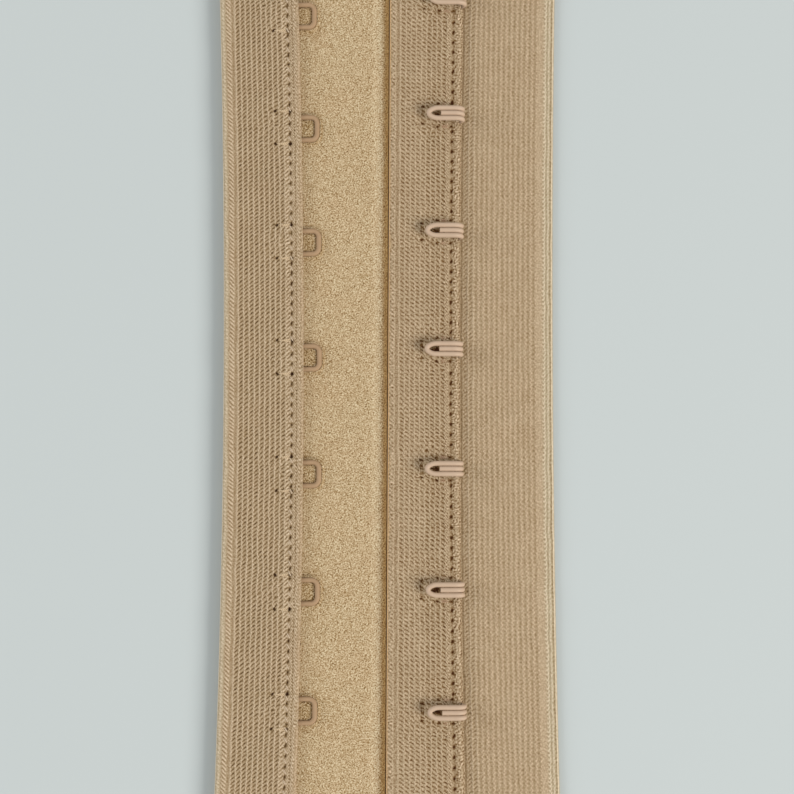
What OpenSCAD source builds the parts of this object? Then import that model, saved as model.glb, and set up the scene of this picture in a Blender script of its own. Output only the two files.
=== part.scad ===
// Hook and eye closure: an eye tape and a hook tape lying side by side, with seven wire hooks and seven wire eyes.
// Sizes in millimetres. X runs across the tapes, Y along them, Z up from the table they lie on.

/* [Tapes] */
// Length of both tapes
tape_length = 142; // [134:1:160]
// Width of the tape that carries the eyes, at its waist
eye_tape_width = 25.8; // [22:0.05:32]
// Width of the tape that carries the hooks, at its waist
hook_tape_width = 26.45; // [22:0.05:32]
// Radius of the long inward curve of the outer edge of the eye tape
eye_tape_curve = 2000; // [1500:50:8000]
// Radius of the long inward curve of the outer edge of the hook tape
hook_tape_curve = 3000; // [1500:50:8000]
// Place of the waist along the tapes, measured from their middle
waist_y = -5; // [-40:1:40]
// Gap between the two tapes
tape_gap = 0.4; // [0.2:0.1:4]
// Thickness of the brushed underlay below the eyes
plush_thickness = 1.1; // [0.8:0.05:2]
// Thickness of the wide flap below the hooks
flap_thickness = 1.0; // [0.8:0.05:2]
// Thickness of the folded knit cover on each tape
cover_thickness = 1.4; // [1.3:0.05:2]
// Width of the cover over the feet of the eyes
eye_cover_width = 12.75; // [11:0.05:16]
// Width of the cover over the bases of the hooks
hook_cover_width = 11.55; // [11:0.05:16]

/* [Knit] */
// Spacing of the knitted ribs
rib_pitch = 0.84; // [0.7:0.01:1.2]
// Height of a rib above the valley beside it
rib_height = 0.12; // [0.05:0.01:0.2]
// Radius of the crown of a rib
rib_radius = 0.42; // [0.3:0.01:0.45]
// Distance of the first valley from the outer edge of the eye cover
eye_rib_start = 2.01; // [1:0.01:4]
// Distance of the first valley from the inner edge of the hook cover
hook_rib_start = 1.29; // [1:0.01:4]
// Distance of the seam of the eye cover from its folded edge
eye_seam_inset = 1.65; // [1:0.05:3]
// Distance of the seam of the hook cover from its folded edge
hook_seam_inset = 1.7; // [1.5:0.05:3]
// Radius of the furrow that a seam presses into a cover
seam_furrow_radius = 0.3; // [0.1:0.01:0.35]

/* [Rows] */
// Spacing of the hooks
hook_pitch = 19; // [14:0.05:20]
// Spacing of the eyes on the relaxed tape
eye_pitch = 18.6; // [14:0.05:20]
// Distance of the last hook and the last eye from the lower end of the tapes
end_margin = 19; // [6:0.5:24]

/* [Wire] */
// Diameter of the coated wire
wire_diameter = 0.78; // [0.6:0.01:0.9]
// Clearance between neighbouring strands of a hook
strand_gap = 0.05; // [0.02:0.01:0.2]
// Clearance between a wire and the cloth it lies on
seat_gap = 0.05; // [0.02:0.01:0.2]
// Clearance round a wire in the pocket of a cover
pocket_gap = 0.1; // [0.05:0.01:0.3]

/* [Hook] */
// Length of the bill from its nose to the outside of the bend
bill_length = 6.2; // [5:0.1:8]
// Height of the open throat between the cover and the bill
throat_height = 1.0; // [0.9:0.05:1.6]
// How far the bend reaches past the folded edge
bend_reach = 0.45; // [0.1:0.05:1]
// Length of the middle tongue from its blunt end to the outside of the bend
tongue_length = 3.85; // [2.5:0.05:4.2]
// Radius of the nose of the bill, at the middle of the wire
nose_radius = 0.52; // [0.45:0.01:0.6]
// Length of the base from the folded edge to its far end
base_length = 6.6; // [5:0.1:8]
// Radius of the round foot of a hook, at the middle of the wire
hook_foot_radius = 1.0; // [0.9:0.01:1.2]
// Distance of the middle of the foot of a hook from the folded edge
hook_foot_inset = 2.75; // [2.5:0.05:4]

/* [Eye] */
// Height of an eye, along the tape
eye_height = 4.5; // [4:0.1:6]
// How far an eye reaches past the folded edge
eye_reach = 2.9; // [2.2:0.1:4]
// Radius of the corners of an eye, at the middle of the wire
eye_corner_radius = 1.0; // [0.6:0.01:1.2]
// Radius of the round foot of an eye, at the middle of the wire
eye_foot_radius = 0.89; // [0.85:0.01:1.2]
// Distance of the middle of the foot of an eye from the folded edge
eye_foot_inset = 3.2; // [2.5:0.05:4]

/* [Hidden] */
$fn = 96;
// Facets in a full turn of the long curves of the tapes
curve_fn = 2400;
pair_count = 7;

// Small overlap that keeps cuts clean
cut = 1;

// Places across the tapes. The outer edges and the folds sway outwards from the waist to the ends
far_end_y = waist_y < 0 ? tape_length / 2 : -tape_length / 2;
eye_sway = sway(eye_tape_curve, far_end_y);
hook_sway = sway(hook_tape_curve, far_end_y);
total_width = eye_sway + eye_tape_width + tape_gap + hook_tape_width + hook_sway;
eye_edge_x = -total_width / 2 + eye_sway;
hook_edge_x = total_width / 2 - hook_sway;
open_width = hook_tape_width - hook_cover_width;

// Heights
wire_radius = wire_diameter / 2;
eye_wire_z = plush_thickness + seat_gap + wire_radius;
base_wire_z = flap_thickness + seat_gap + wire_radius;
bill_wire_z = flap_thickness + cover_thickness + throat_height + wire_radius;
bend_radius = (bill_wire_z - base_wire_z) / 2;
pocket_height = seat_gap + wire_diameter + pocket_gap;

// Hook outline. Each flank of the bill turns by the small angle of a 3-4-5 triangle, and half the nose by the rest
flank_angle = atan2(3, 4);
strand_pitch = wire_diameter + strand_gap;
hook_width = 2 * strand_pitch + wire_diameter;
flank_radius = (strand_pitch - nose_radius * cos(flank_angle)) / (1 - cos(flank_angle));
nose_length = flank_radius * sin(flank_angle) + nose_radius * (1 - sin(flank_angle)) + wire_radius;
bend_x = bend_reach - wire_radius - bend_radius;
bill_straight = bill_length - nose_length - bend_radius - wire_radius;
tongue_straight = tongue_length - bend_radius - wire_radius;
turn_radius = strand_pitch / 2;
base_straight = base_length - wire_radius - turn_radius + bend_x;

// Eye outline
eye_leg_y = eye_height / 2 - wire_radius;
foot_turn = 270;

function sway(curve, y) = curve - sqrt(curve * curve - (y - waist_y) * (y - waist_y));
function hook_y(index) = -tape_length / 2 + end_margin + (pair_count - index) * hook_pitch;
function eye_y(index) = -tape_length / 2 + end_margin + (pair_count - index) * eye_pitch;
function hook_fold_x(index) = hook_edge_x - open_width + sway(hook_tape_curve, hook_y(index));
function eye_fold_x(index) = eye_edge_x + eye_cover_width - sway(eye_tape_curve, eye_y(index));

// A bent wire that starts at the origin along Z. Each step is [bend radius or 0, angle or length, roll before it].
module bent_wire(steps, index = 0) {
    if (index < len(steps)) {
        bend = steps[index][0];
        amount = steps[index][1];
        rotate([0, 0, steps[index][2]]) {
            if (bend == 0) {
                cylinder(d = wire_diameter, h = amount);
                translate([0, 0, amount]) bent_wire(steps, index + 1);
            } else {
                translate([bend, 0, 0]) rotate([90, 0, 0]) rotate([0, 0, 180 - amount])
                    rotate_extrude(angle = amount) translate([bend, 0]) circle(d = wire_diameter);
                translate([bend, 0, 0]) rotate([0, amount, 0]) translate([-bend, 0, 0])
                    bent_wire(steps, index + 1);
            }
        }
    }
}

// One continuous wire: tongue, bend, base, back over the bend, round the nose of the bill and down to the foot
module hook_wire(index) {
    steps = [
        [0, tongue_straight, 0],
        [bend_radius, 180, 0],
        [0, base_straight, 0],
        [turn_radius, 180, -90],
        [0, base_straight, 0],
        [bend_radius, 180, 90],
        [0, bill_straight, 0],
        [flank_radius, flank_angle, -90],
        [nose_radius, 90 - flank_angle, 0],
        [nose_radius, 90 - flank_angle, 0],
        [flank_radius, flank_angle, 0],
        [0, bill_straight, 0],
        [bend_radius, 180, 90],
        [0, hook_foot_inset + bend_x, 0],
        [hook_foot_radius, foot_turn, 90]
    ];
    color("#cbb297") translate([hook_fold_x(index) + bend_x - tongue_straight, hook_y(index), bill_wire_z])
        rotate([0, 90, 0]) bent_wire(steps);
}

// One eye: a rounded loop whose two legs end in round feet under the cover
module eye_wire(index) {
    leg_straight = eye_reach - wire_radius - eye_corner_radius + eye_foot_inset;
    steps = [
        [0, eye_leg_y - eye_corner_radius, 180],
        [eye_corner_radius, 90, 0],
        [0, leg_straight, 0],
        [eye_foot_radius, foot_turn, 180]
    ];
    color("#b4977a") translate([eye_fold_x(index) + eye_reach - wire_radius, eye_y(index), eye_wire_z])
        for (side = [0, 1]) mirror([0, side, 0]) rotate([-90, 0, 0]) bent_wire(steps);
}

// Profile of a layer of cloth between two places across the tape, each side rounded or square
module layer_profile(from, to, thickness, round_from = false, round_to = false) {
    radius = thickness / 2;
    left = round_from ? from + radius : from;
    right = round_to ? to - radius : to;
    translate([left, 0]) square([right - left, thickness]);
    if (round_from) translate([left, radius]) circle(r = radius);
    if (round_to) translate([right, radius]) circle(r = radius);
}

// Row of rib crowns from a first valley to an end, with their tops at the given height
module rib_profile(first, end, top) {
    rib_count = floor((end - first) / rib_pitch);
    for (rib = [0 : rib_count - 1])
        translate([first + (rib + 1 / 2) * rib_pitch, top - rib_radius]) circle(r = rib_radius);
}

// Turns a profile drawn inwards from the outer edge into a strip along a straight inner edge
module straight_strip() {
    translate([0, tape_length / 2, 0]) rotate([90, 0, 0]) linear_extrude(height = tape_length) children();
}

// Turns a profile drawn inwards from the outer edge into a strip that follows the curve of that edge
module curved_strip(curve) {
    reach = tape_length / 2 + abs(waist_y) + cut;
    half_angle = asin(reach / curve);
    intersection() {
        translate([-curve, waist_y, 0]) rotate([0, 0, -half_angle])
            rotate_extrude(angle = 2 * half_angle, $fn = curve_fn) translate([curve, 0]) children();
        translate([-tape_length / 2, -tape_length / 2, -cut]) cube([tape_length, tape_length, tape_length]);
    }
}

// Puts a tape drawn inwards from its outer edge in its place on the hook side
module hook_side() {
    translate([hook_edge_x, 0, 0]) mirror([1, 0, 0]) children();
}

// Pocket under a cover for the two legs and the two feet of an eye
module eye_pocket() {
    leg_width = wire_diameter + 2 * pocket_gap;
    foot_width = 2 * eye_foot_radius + leg_width;
    for (side = [-1, 1]) {
        translate([-eye_foot_inset, side * eye_leg_y - leg_width / 2, -cut])
            cube([eye_foot_inset + cut, leg_width, pocket_height + cut]);
        translate([-eye_foot_inset - foot_width / 2, side * (eye_leg_y + eye_foot_radius) - foot_width / 2, -cut])
            cube([foot_width, foot_width, pocket_height + cut]);
    }
}

// Pocket under a cover for the base and the foot of a hook, and the notch that lets the bend out
module hook_pocket() {
    base_width = hook_width + 2 * pocket_gap;
    foot_width = 2 * hook_foot_radius + wire_diameter + 2 * pocket_gap;
    foot_y = strand_pitch + hook_foot_radius;
    translate([-base_length - pocket_gap, -base_width / 2, -cut])
        cube([base_length + pocket_gap + cut, base_width, pocket_height + cut]);
    translate([-hook_foot_inset - foot_width / 2, foot_y - foot_width / 2, -cut])
        cube([foot_width, foot_width, pocket_height + cut]);
    translate([bend_x - pocket_gap, -base_width / 2, -cut])
        cube([pocket_gap - bend_x + cut, base_width, cover_thickness + 2 * cut]);
}

module eye_tape_plush() {
    color("#bba27d") translate([eye_edge_x, 0, 0]) {
        curved_strip(eye_tape_curve)
            layer_profile(0, eye_cover_width + eye_reach, plush_thickness, round_from = true);
        straight_strip() layer_profile(eye_cover_width, eye_tape_width, plush_thickness, round_to = true);
    }
}

module eye_tape_cover() {
    body = cover_thickness - rib_height;
    seam = eye_cover_width - eye_seam_inset;
    color("#a99174") difference() {
        translate([eye_edge_x, 0, plush_thickness]) curved_strip(eye_tape_curve) difference() {
            union() {
                layer_profile(0, eye_cover_width, body, round_from = true, round_to = true);
                rib_profile(eye_rib_start, seam - seam_furrow_radius, cover_thickness);
            }
            translate([seam, body]) circle(r = seam_furrow_radius);
        }
        for (index = [1 : pair_count])
            translate([eye_fold_x(index), eye_y(index), plush_thickness]) eye_pocket();
    }
}

module hook_tape_flap() {
    body = flap_thickness - rib_height;
    inner = hook_tape_width - hook_rib_start;
    color("#af9879") hook_side() {
        curved_strip(hook_tape_curve) {
            layer_profile(0, open_width, body, round_from = true);
            layer_profile(open_width, inner, flap_thickness);
            mirror([1, 0]) rib_profile(-open_width, 0, flap_thickness);
        }
        straight_strip() layer_profile(open_width + hook_seam_inset, hook_tape_width, flap_thickness, round_to = true);
    }
}

module hook_tape_cover() {
    body = cover_thickness - rib_height;
    seam = open_width + hook_seam_inset;
    inner = hook_tape_width - hook_rib_start;
    color("#a89172") difference() {
        hook_side() translate([0, 0, flap_thickness]) {
            curved_strip(hook_tape_curve) difference() {
                union() {
                    layer_profile(open_width, inner, body, round_from = true);
                    mirror([1, 0]) rib_profile(-inner, -seam - seam_furrow_radius, cover_thickness);
                }
                translate([seam, body]) circle(r = seam_furrow_radius);
            }
            straight_strip() layer_profile(seam + hook_seam_inset, hook_tape_width, body, round_to = true);
        }
        for (index = [1 : pair_count])
            translate([hook_fold_x(index), hook_y(index), flap_thickness]) hook_pocket();
    }
}

module hook_1() { hook_wire(1); }
module hook_2() { hook_wire(2); }
module hook_3() { hook_wire(3); }
module hook_4() { hook_wire(4); }
module hook_5() { hook_wire(5); }
module hook_6() { hook_wire(6); }
module hook_7() { hook_wire(7); }
module eye_1() { eye_wire(1); }
module eye_2() { eye_wire(2); }
module eye_3() { eye_wire(3); }
module eye_4() { eye_wire(4); }
module eye_5() { eye_wire(5); }
module eye_6() { eye_wire(6); }
module eye_7() { eye_wire(7); }

eye_tape_plush();
eye_tape_cover();
hook_tape_flap();
hook_tape_cover();
hook_1();
hook_2();
hook_3();
hook_4();
hook_5();
hook_6();
hook_7();
eye_1();
eye_2();
eye_3();
eye_4();
eye_5();
eye_6();
eye_7();
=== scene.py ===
"""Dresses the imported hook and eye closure: knit tapes, brushed underlay, coated wire and sewing thread."""

import logging
import math
from dataclasses import dataclass, field
from enum import Enum

import bpy
import numpy as np
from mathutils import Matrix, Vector


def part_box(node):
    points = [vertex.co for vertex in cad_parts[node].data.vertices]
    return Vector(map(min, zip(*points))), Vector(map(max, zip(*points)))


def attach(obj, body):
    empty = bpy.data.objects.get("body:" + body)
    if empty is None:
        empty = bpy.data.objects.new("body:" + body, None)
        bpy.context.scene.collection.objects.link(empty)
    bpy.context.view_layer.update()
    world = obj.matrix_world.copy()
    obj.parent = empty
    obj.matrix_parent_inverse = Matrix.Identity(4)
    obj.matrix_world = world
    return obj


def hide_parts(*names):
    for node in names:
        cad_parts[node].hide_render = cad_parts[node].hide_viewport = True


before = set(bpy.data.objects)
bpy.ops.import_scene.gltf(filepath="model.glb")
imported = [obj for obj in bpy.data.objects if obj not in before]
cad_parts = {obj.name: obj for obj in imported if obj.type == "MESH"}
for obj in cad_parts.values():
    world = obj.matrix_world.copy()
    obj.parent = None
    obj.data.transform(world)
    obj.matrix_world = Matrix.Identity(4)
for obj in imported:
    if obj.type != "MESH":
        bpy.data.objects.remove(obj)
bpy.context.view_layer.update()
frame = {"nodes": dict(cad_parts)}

MM = 0.001
MIDDLE_SHADE = 0.58
BASE_STEP = 0.17 * MM
COVER_STEP = 0.168 * MM
LOG = logging.getLogger("closure")


class Slant(Enum):
    """Which way the stitches of a knitted column lean, as the sign of their slope."""

    RISING = 1
    FALLING = -1


def linear(colour: str) -> tuple[float, float, float, float]:
    """Turns an sRGB hex colour into linear light.

    Args:
        colour: Colour as "#rrggbb".

    Returns:
        Linear red, green, blue and full alpha.
    """
    parts = [int(colour[i : i + 2], 16) / 255 for i in (1, 3, 5)]
    red, green, blue = (c / 12.92 if c <= 0.04045 else ((c + 0.055) / 1.055) ** 2.4 for c in parts)
    return red, green, blue, 1.0


def add_node(
    tree: bpy.types.NodeTree, kind: str, settings: dict | None = None, inputs: dict | None = None
) -> bpy.types.Node:
    """Adds a node with its settings, constants and links.

    Args:
        tree: Node tree to add to.
        kind: Blender's name of the node.
        settings: Properties of the node and their values.
        inputs: Sockets, by name or number, with a constant or an output to link from.

    Returns:
        The new node.
    """
    node = tree.nodes.new(kind)
    for name, value in (settings or {}).items():
        setattr(node, name, value)
    for name, value in (inputs or {}).items():
        if isinstance(value, bpy.types.NodeSocket):
            tree.links.new(value, node.inputs[name])
        else:
            node.inputs[name].default_value = value
    return node


def new_material(name: str) -> tuple[bpy.types.Material, bpy.types.NodeTree]:
    """Makes an empty node material.

    Args:
        name: Name of the material.

    Returns:
        The material and its empty node tree.
    """
    material = bpy.data.materials.new(name)
    material.use_nodes = True
    material.node_tree.nodes.clear()
    return material, material.node_tree


def add_surface(tree: bpy.types.NodeTree, inputs: dict) -> None:
    """Adds the surface of a material, with its inputs as in add_node, and joins it to the output."""
    surface = add_node(tree, "ShaderNodeBsdfPrincipled", inputs=inputs)
    add_node(tree, "ShaderNodeOutputMaterial", inputs={"Surface": surface.outputs["BSDF"]})


def mix_tints(tree: bpy.types.NodeTree, share: bpy.types.NodeSocket, dark: str, middle: str) -> bpy.types.NodeSocket:
    """Mixes the darker and the middle tint of a finish, by the share of the middle one."""
    inputs = {0: share, 6: linear(dark), 7: linear(middle)}
    return add_node(tree, "ShaderNodeMix", {"data_type": "RGBA"}, inputs).outputs[2]


def deselect_all() -> None:
    """Leaves object mode with nothing selected."""
    if bpy.context.mode != "OBJECT":
        bpy.ops.object.mode_set(mode="OBJECT")
    bpy.ops.object.select_all(action="DESELECT")


def read_points(piece: bpy.types.Object) -> np.ndarray:
    """Reads a mesh's vertices.

    Args:
        piece: Mesh object.

    Returns:
        Array of one row of x, y, z for each vertex.
    """
    points = np.empty(len(piece.data.vertices) * 3)
    piece.data.vertices.foreach_get("co", points)
    return points.reshape(-1, 3)


def write_points(piece: bpy.types.Object, points: np.ndarray) -> None:
    """Moves a mesh's vertices to new places, one row of x, y, z for each."""
    piece.data.vertices.foreach_set("co", points.ravel())
    piece.data.update()


class Field:
    """Number that a material works out at each place, so that one formula serves both a mesh and a material."""

    def __init__(self, tree: bpy.types.NodeTree, socket: bpy.types.NodeSocket) -> None:
        """Wraps the output of a node of the tree."""
        self.tree = tree
        self.socket = socket

    def apply(self, operation: str, *values: "Field | float", clamp: bool = False) -> "Field":
        """Works out one step with a math node.

        Args:
            operation: Blender's name of the operation.
            values: What it works on, in order.
            clamp: Whether the result is kept between zero and one.

        Returns:
            The result.
        """
        settings = {"operation": operation, "use_clamp": clamp}
        inputs = {i: v.socket if isinstance(v, Field) else float(v) for i, v in enumerate(values)}
        return Field(self.tree, add_node(self.tree, "ShaderNodeMath", settings, inputs).outputs[0])

    def __add__(self, other: "Field | float") -> "Field":
        """Sum."""
        return self.apply("ADD", self, other)

    __radd__ = __add__

    def __sub__(self, other: "Field | float") -> "Field":
        """Difference."""
        return self.apply("SUBTRACT", self, other)

    def __rsub__(self, other: float) -> "Field":
        """Difference from a number."""
        return self.apply("SUBTRACT", other, self)

    def __mul__(self, other: "Field | float") -> "Field":
        """Product."""
        return self.apply("MULTIPLY", self, other)

    __rmul__ = __mul__

    def __truediv__(self, other: "Field | float") -> "Field":
        """Quotient."""
        return self.apply("DIVIDE", self, other)

    def __abs__(self) -> "Field":
        """Size without its sign."""
        return self.apply("ABSOLUTE", self)


Value = Field | np.ndarray
Point = tuple[float, float, float]


def whole(value: Value) -> Value:
    """Largest whole number not above a value."""
    return value.apply("FLOOR", value) if isinstance(value, Field) else np.floor(value)


def limit(value: Value) -> Value:
    """Value kept between zero and one."""
    return value.apply("ADD", value, 0.0, clamp=True) if isinstance(value, Field) else np.clip(value, 0, 1)


def wave(phase: Value) -> Value:
    """Cosine that repeats over each whole number of the phase."""
    angle = phase * (2 * math.pi)
    return angle.apply("COSINE", angle) if isinstance(angle, Field) else np.cos(angle)


def ridge(distance: Value, half_width: float) -> Value:
    """Smooth bump of height one that falls off over a half width.

    Args:
        distance: Distance from the middle of the bump.
        half_width: Distance at which it has mostly gone.

    Returns:
        Height of the bump at each distance.
    """
    scaled = distance * (1 / half_width)
    power = scaled * scaled * -1.0
    return power.apply("EXPONENT", power) if isinstance(power, Field) else np.exp(power)


def within(value: Value, start: float, end: float, soft: float) -> Value:
    """Mask that is one from a start to an end, and falls off over a soft length at both."""
    return limit((value - start) * (1 / soft) + 0.5) * limit((end - value) * (1 / soft) + 0.5)


def zigzag(phase: Value) -> Value:
    """Even zigzag from minus one to one and back over each whole number of the phase."""
    return abs(phase - whole(phase + 0.5)) * 4.0 - 1.0


def scatter(first: Value, second: Value | float) -> Value:
    """Number from zero to one that looks random, for a pair of whole numbers."""
    angle = first * 12.9898 + second * 78.233
    sine = (angle.apply("SINE", angle) if isinstance(angle, Field) else np.sin(angle)) * 4375.85
    return sine - whole(sine)


@dataclass(frozen=True)
class Rim:
    """Band along a cloth's edge where its colour turns, as on a raw or rolled edge."""

    start: float
    end: float
    tint: str
    soft: float = 0.4 * MM


@dataclass(frozen=True)
class ClothFinish:
    """Matt nylon cloth, with painted shade, darker and warmer, in the hollows between its yarns and painted light on
    their crowns.
    """

    name: str
    slot: str
    deep: str
    dark: str
    shadow: str
    middle: str
    light: str
    blush: str
    roughness: float = 0.85
    sheen: float = 0.1
    grain: float = 0.21 * MM
    mottle: float = 0.5
    detail: float = 0.5
    bump: float = 0.05 * MM
    depth: float = 0.45
    blotch: float = 4 * MM

    def material(self, features: list, rims: tuple[Rim, ...] = ()) -> bpy.types.Material:
        """Builds the material on the piece's cloth attribute, which holds the place on the cloth and its shade.

        Args:
            features: Features of the weave that the material draws.
            rims: Bands that the material tints.

        Returns:
            The material.
        """
        material, tree = new_material(self.name)
        cloth = add_node(tree, "ShaderNodeAttribute", {"attribute_name": "cloth", "attribute_type": "GEOMETRY"})
        parts = add_node(tree, "ShaderNodeSeparateXYZ", inputs={"Vector": cloth.outputs["Vector"]})
        across, along, tone = (Field(tree, parts.outputs[i]) for i in range(3))
        height = across * 0.0
        for feature in features:
            raised, shade = feature.relief(across, along)
            height, tone = height + raised, tone + shade
        place = add_node(tree, "ShaderNodeTexCoord")
        # Single filaments are finer than the picture shows, so the grain is drawn at about the width of a yarn
        fibre = self.noise(tree, place, self.grain, self.detail)
        patch = self.noise(tree, place, self.blotch, 2.0)
        level = tone + (fibre - 0.5) * self.mottle
        ramp = add_node(tree, "ShaderNodeValToRGB", inputs={"Fac": level.socket})
        stops = ramp.color_ramp.elements
        stops[0].color, stops[1].color = linear(self.deep), linear(self.light)
        for position, colour in ((0.18, self.dark), (0.38, self.shadow), (MIDDLE_SHADE, self.middle)):
            stops.new(position).color = linear(colour)
        colour = ramp.outputs["Color"]
        layers = [(limit((patch - 0.5) * 0.8 + 0.2), self.blush)]
        layers += [(within(across, rim.start, rim.end, rim.soft), rim.tint) for rim in rims]
        for share, tint in layers:
            inputs = {0: share.socket, 6: colour, 7: linear(tint)}
            colour = add_node(tree, "ShaderNodeMix", {"data_type": "RGBA", "blend_type": "MULTIPLY"}, inputs).outputs[2]
        relief = height * self.depth + (fibre - 0.5) * self.bump
        bump = add_node(tree, "ShaderNodeBump", inputs={"Height": relief.socket, "Distance": 1.0, "Strength": 1.0})
        surface = {"Base Color": colour, "Normal": bump.outputs["Normal"], "Roughness": self.roughness, "IOR": 1.5}
        add_surface(tree, surface | {"Specular IOR Level": 0.2, "Sheen Weight": self.sheen, "Sheen Roughness": 0.5})
        return material

    @staticmethod
    def noise(tree: bpy.types.NodeTree, place: bpy.types.Node, size: float, detail: float) -> Field:
        """Adds noise of a grain size over the object's own coordinates, turned so that its grid never shows."""
        inputs = {"Vector": place.outputs["Object"], "Rotation": (0.7, 0.5, 0.6)}
        turned = add_node(tree, "ShaderNodeMapping", inputs=inputs)
        inputs = {"Vector": turned.outputs["Vector"], "Scale": 1 / size, "Detail": detail, "Roughness": 0.5}
        return Field(tree, add_node(tree, "ShaderNodeTexNoise", inputs=inputs).outputs[0])


@dataclass(frozen=True)
class CoatedWireFinish:
    """Steel wire in a moulded nylon coat: smooth and satin, with a faint unevenness in tint and gloss."""

    name: str
    middle: str
    dark: str
    roughness: float
    uneven: float = 0.06
    blotch: float = 1.2 * MM

    def material(self) -> bpy.types.Material:
        """Builds the material on the object's own coordinates."""
        material, tree = new_material(self.name)
        place = add_node(tree, "ShaderNodeTexCoord")
        inputs = {"Vector": place.outputs["Object"], "Scale": 1 / self.blotch, "Detail": 3.0}
        blotches = add_node(tree, "ShaderNodeTexNoise", inputs=inputs).outputs["Fac"]
        inputs = {"Value": blotches, "To Min": self.roughness - self.uneven, "To Max": self.roughness + self.uneven}
        gloss = add_node(tree, "ShaderNodeMapRange", inputs=inputs).outputs[0]
        tint = mix_tints(tree, blotches, self.dark, self.middle)
        add_surface(tree, {"Base Color": tint, "Roughness": gloss, "IOR": 1.53, "Specular IOR Level": 0.35})
        return material


@dataclass(frozen=True)
class ThreadFinish:
    """Polyester sewing thread: two plies of bright filament, so it catches more light than the knit."""

    name: str
    slot: str
    middle: str
    dark: str
    roughness: float = 0.5
    ply: float = 0.25 * MM
    slant: float = math.radians(35)

    def material(self) -> bpy.types.Material:
        """Builds the material, with the plies drawn as fine slanted bands."""
        material, tree = new_material(self.name)
        place = add_node(tree, "ShaderNodeTexCoord")
        inputs = {"Vector": place.outputs["Object"], "Rotation": (0.0, 0.0, self.slant)}
        turned = add_node(tree, "ShaderNodeMapping", inputs=inputs)
        # At a scale of one the bands of this texture repeat every 0.314
        inputs = {"Vector": turned.outputs["Vector"], "Scale": 0.314 / self.ply, "Distortion": 1.5}
        plies = add_node(tree, "ShaderNodeTexWave", {"wave_type": "BANDS", "bands_direction": "X"}, inputs)
        tint = mix_tints(tree, plies.outputs["Fac"], self.dark, self.middle)
        add_surface(tree, {"Base Color": tint, "Roughness": self.roughness, "IOR": 1.54, "Sheen Weight": 0.2})
        return material


@dataclass(frozen=True)
class PaperFinish:
    """Matt backdrop paper: an even cool grey with no texture of its own."""

    name: str
    middle: str

    def material(self) -> bpy.types.Material:
        """Builds the material."""
        material, tree = new_material(self.name)
        add_surface(tree, {"Base Color": linear(self.middle), "Roughness": 0.95, "Specular IOR Level": 0.1})
        return material


EYE_KNIT = ClothFinish(
    "ribbed nylon knit, eye cover", "ribbed_knit", "#3b220c", "#6e5838", "#937c5b", "#b29e82", "#e6d3b8", "#faf3f0"
)
HOOK_KNIT = ClothFinish(
    "ribbed nylon knit, hook cover", "ribbed_knit", "#421f00", "#6f5029", "#917a5b", "#b09c7f", "#e4ceb2", "#faf3f0",
    mottle=0.7,
)
FLAP_KNIT = ClothFinish(
    "ribbed nylon knit, flap", "ribbed_knit", "#37230e", "#725c3e", "#947d5c", "#b19d80", "#e6d1b7", "#fbf6f3",
    mottle=0.6,
)
PLUSH = ClothFinish(
    "brushed nylon pile", "brushed_plush", "#49300f", "#7d6034", "#a28961", "#bca582", "#e2d5b4", "#f8eee8",
    roughness=0.95, grain=0.19 * MM, mottle=1.25, detail=0.0, bump=0.07 * MM,
)
HOOK_WIRE = CoatedWireFinish("nylon-coated wire of the hooks", "#c8b099", "#bea68f", roughness=0.55)
EYE_WIRE = CoatedWireFinish("nylon-coated wire of the eyes", "#b09373", "#a48768", roughness=0.68)
SEAM_THREAD = ThreadFinish("polyester sewing thread", "sewing_thread", "#d3c0a7", "#b0987a")
TACK_THREAD = ThreadFinish("polyester sewing thread, glossy tack", "sewing_thread", "#dbc4a3", "#b39b78")
# Darker than the eye side's thread: its tint is partly painted shade of thread sunk in the seam and partly the cloth's
# own colour
DULL_THREAD = ThreadFinish(
    "polyester sewing thread, sunk in the seam", "sewing_thread", "#b5987c", "#94714f", roughness=0.7
)
STAGE_PAPER = PaperFinish("matt backdrop paper", "#c3ccce")


class Grain:
    """Seeded noise of one grain size over a field of cloth, with no structure of its own."""

    STEP = 0.1 * MM
    WIDTH = 34 * MM
    LENGTH = 146 * MM
    MARGIN = 20

    def __init__(self, size: float, seed: int, spread: float = 0.45) -> None:
        """Draws the noise once.

        Args:
            size: Length of one wave of the noise.
            seed: Seed of the random numbers.
            spread: How far the sizes of the waves differ, where low is even.
        """
        columns, rows = int(self.WIDTH / self.STEP), int(self.LENGTH / self.STEP)
        white = np.random.default_rng(seed).normal(size=(rows, columns))
        fy = np.fft.fftfreq(rows, self.STEP)[:, None]
        fx = np.fft.rfftfreq(columns, self.STEP)[None, :]
        waves = np.hypot(fx, fy) * size
        keep = np.exp(-((waves - 1) / spread) ** 2)
        self.field = np.fft.irfft2(np.fft.rfft2(white) * keep, s=white.shape)
        self.field /= self.field.std()

    def at(self, across: np.ndarray, along: np.ndarray) -> np.ndarray:
        """Reads the noise at places on the cloth.

        Args:
            across: Distances across the cloth.
            along: Distances along the cloth, from its middle.

        Returns:
            Noise with a mean of zero and a spread of one, in the arrays' common shape.
        """
        rows, columns = self.field.shape
        fx = (across / self.STEP + self.MARGIN) % (columns - 1)
        fy = ((along + self.LENGTH / 2) / self.STEP) % (rows - 1)
        fx, fy = np.broadcast_arrays(fx, fy)
        ix, iy = fx.astype(int), fy.astype(int)
        tx, ty = fx - ix, fy - iy
        low = self.field[iy, ix] * (1 - tx) + self.field[iy, ix + 1] * tx
        high = self.field[iy + 1, ix] * (1 - tx) + self.field[iy + 1, ix + 1] * tx
        return low * (1 - ty) + high * ty


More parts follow.
